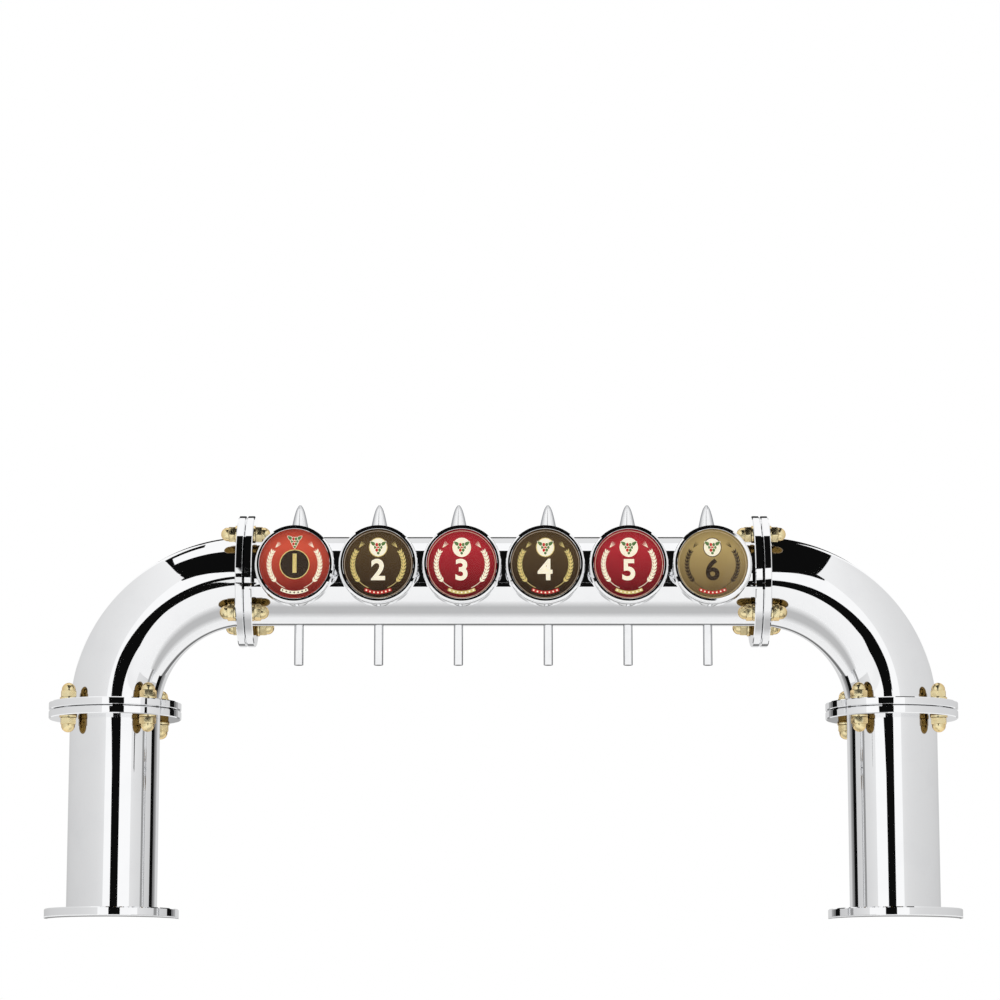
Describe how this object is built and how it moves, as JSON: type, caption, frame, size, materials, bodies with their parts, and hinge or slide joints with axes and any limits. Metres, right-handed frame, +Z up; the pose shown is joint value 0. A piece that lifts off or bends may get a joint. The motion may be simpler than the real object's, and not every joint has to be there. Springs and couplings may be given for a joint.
{
  "type": "bridge beer tower",
  "caption": "Bar-top bridge tower of chromed flanged tube, with round lit badges in front and lever taps behind.",
  "frame": {"origin": "on the counter, midway between the two base plates and under the bridge tube's axis", "axes": "+X along the bridge to the right as the customer sees it, +Y towards the server, +Z up"},
  "size_m": [1.054, 0.226, 0.496],
  "materials": {
    "chrome": "mirror-bright chrome plate",
    "gilt": "polished gilt",
    "steel": "plain stainless steel",
    "brass": "machined brass",
    "rubber": "matt black rubber",
    "print": "printed sheet",
    "lens": "clear polished lens",
    "board": "circuit board lacquer"
  },
  "bodies": {
    "tower": {"left_base_plate": "chrome", "right_base_plate": "chrome", "base_seals": "rubber", "left_leg_tube": "chrome", "right_leg_tube": "chrome", "left_leg_flange": "chrome", "right_leg_flange": "chrome", "elbow_flanges": "chrome", "left_bridge_flange": "chrome", "right_bridge_flange": "chrome", "left_elbow": "chrome", "right_elbow": "chrome", "bridge_tube": "chrome", "joint_gaskets": "rubber", "flange_studs": "steel", "dome_nuts": "gilt", "flange_washers": "gilt", "left_beer_lines": "steel", "right_beer_lines": "steel", "coolant_line": "steel", "light_cable": "rubber", "line_unions": "brass", "badge_housings": "chrome", "badge_bezels": "chrome", "badge_lenses": "lens", "badge_prints": "print", "light_boards": "board", "badge_stems": "steel", "badge_nuts": "steel", "tap_rosettes": "chrome", "tap_shanks": "steel", "tap_shank_nuts": "brass", "tap_lock_rings": "chrome", "tap_bodies": "chrome", "tap_spouts": "chrome", "tap_caps": "chrome"},
    "handle_1": {"tap_lever_1": "chrome", "tap_handle_1": "chrome"},
    "valve_1": {"tap_valve_1": "steel"},
    "flow_1": {"flow_lever_1": "chrome"},
    "handle_2": {"tap_lever_2": "chrome", "tap_handle_2": "chrome"},
    "valve_2": {"tap_valve_2": "steel"},
    "flow_2": {"flow_lever_2": "chrome"},
    "handle_3": {"tap_lever_3": "chrome", "tap_handle_3": "chrome"},
    "valve_3": {"tap_valve_3": "steel"},
    "flow_3": {"flow_lever_3": "chrome"},
    "handle_4": {"tap_lever_4": "chrome", "tap_handle_4": "chrome"},
    "valve_4": {"tap_valve_4": "steel"},
    "flow_4": {"flow_lever_4": "chrome"},
    "handle_5": {"tap_lever_5": "chrome", "tap_handle_5": "chrome"},
    "valve_5": {"tap_valve_5": "steel"},
    "flow_5": {"flow_lever_5": "chrome"},
    "handle_6": {"tap_lever_6": "chrome", "tap_handle_6": "chrome"},
    "valve_6": {"tap_valve_6": "steel"},
    "flow_6": {"flow_lever_6": "chrome"}
  },
  "joints": [
    {"name": "handle_swing_1", "type": "hinge", "parent": "tower", "child": "handle_1", "pos_m": [-0.2435, 0.095, 0.408], "axis": [-1, 0, 0], "range_deg": [-15, 30]},
    {"name": "valve_slide_1", "type": "slide", "parent": "tower", "child": "valve_1", "axis": [0, -1, 0], "range_m": [-0.00375, 0.0075]},
    {"name": "flow_turn_1", "type": "hinge", "parent": "tower", "child": "flow_1", "pos_m": [-0.2435, 0.074, 0.39], "axis": [1, 0, 0], "range_deg": [-55, 35]},
    {"name": "handle_swing_2", "type": "hinge", "parent": "tower", "child": "handle_2", "pos_m": [-0.1485, 0.095, 0.408], "axis": [-1, 0, 0], "range_deg": [-15, 30]},
    {"name": "valve_slide_2", "type": "slide", "parent": "tower", "child": "valve_2", "axis": [0, -1, 0], "range_m": [-0.00375, 0.0075]},
    {"name": "flow_turn_2", "type": "hinge", "parent": "tower", "child": "flow_2", "pos_m": [-0.1485, 0.074, 0.39], "axis": [1, 0, 0], "range_deg": [-55, 35]},
    {"name": "handle_swing_3", "type": "hinge", "parent": "tower", "child": "handle_3", "pos_m": [-0.0535, 0.095, 0.408], "axis": [-1, 0, 0], "range_deg": [-15, 30]},
    {"name": "valve_slide_3", "type": "slide", "parent": "tower", "child": "valve_3", "axis": [0, -1, 0], "range_m": [-0.00375, 0.0075]},
    {"name": "flow_turn_3", "type": "hinge", "parent": "tower", "child": "flow_3", "pos_m": [-0.0535, 0.074, 0.39], "axis": [1, 0, 0], "range_deg": [-55, 35]},
    {"name": "handle_swing_4", "type": "hinge", "parent": "tower", "child": "handle_4", "pos_m": [0.0535, 0.095, 0.408], "axis": [-1, 0, 0], "range_deg": [-15, 30]},
    {"name": "valve_slide_4", "type": "slide", "parent": "tower", "child": "valve_4", "axis": [0, -1, 0], "range_m": [-0.00375, 0.0075]},
    {"name": "flow_turn_4", "type": "hinge", "parent": "tower", "child": "flow_4", "pos_m": [0.0535, 0.074, 0.39], "axis": [1, 0, 0], "range_deg": [-55, 35]},
    {"name": "handle_swing_5", "type": "hinge", "parent": "tower", "child": "handle_5", "pos_m": [0.1485, 0.095, 0.408], "axis": [-1, 0, 0], "range_deg": [-15, 30]},
    {"name": "valve_slide_5", "type": "slide", "parent": "tower", "child": "valve_5", "axis": [0, -1, 0], "range_m": [-0.00375, 0.0075]},
    {"name": "flow_turn_5", "type": "hinge", "parent": "tower", "child": "flow_5", "pos_m": [0.1485, 0.074, 0.39], "axis": [1, 0, 0], "range_deg": [-55, 35]},
    {"name": "handle_swing_6", "type": "hinge", "parent": "tower", "child": "handle_6", "pos_m": [0.2435, 0.095, 0.408], "axis": [-1, 0, 0], "range_deg": [-15, 30]},
    {"name": "valve_slide_6", "type": "slide", "parent": "tower", "child": "valve_6", "axis": [0, -1, 0], "range_m": [-0.00375, 0.0075]},
    {"name": "flow_turn_6", "type": "hinge", "parent": "tower", "child": "flow_6", "pos_m": [0.2435, 0.074, 0.39], "axis": [1, 0, 0], "range_deg": [-55, 35]}
  ],
  "couplings": [
    {"joint": "valve_slide_1", "follows": "handle_swing_1", "m_per_rad": 0.014324},
    {"joint": "valve_slide_2", "follows": "handle_swing_2", "m_per_rad": 0.014324},
    {"joint": "valve_slide_3", "follows": "handle_swing_3", "m_per_rad": 0.014324},
    {"joint": "valve_slide_4", "follows": "handle_swing_4", "m_per_rad": 0.014324},
    {"joint": "valve_slide_5", "follows": "handle_swing_5", "m_per_rad": 0.014324},
    {"joint": "valve_slide_6", "follows": "handle_swing_6", "m_per_rad": 0.014324}
  ]
}
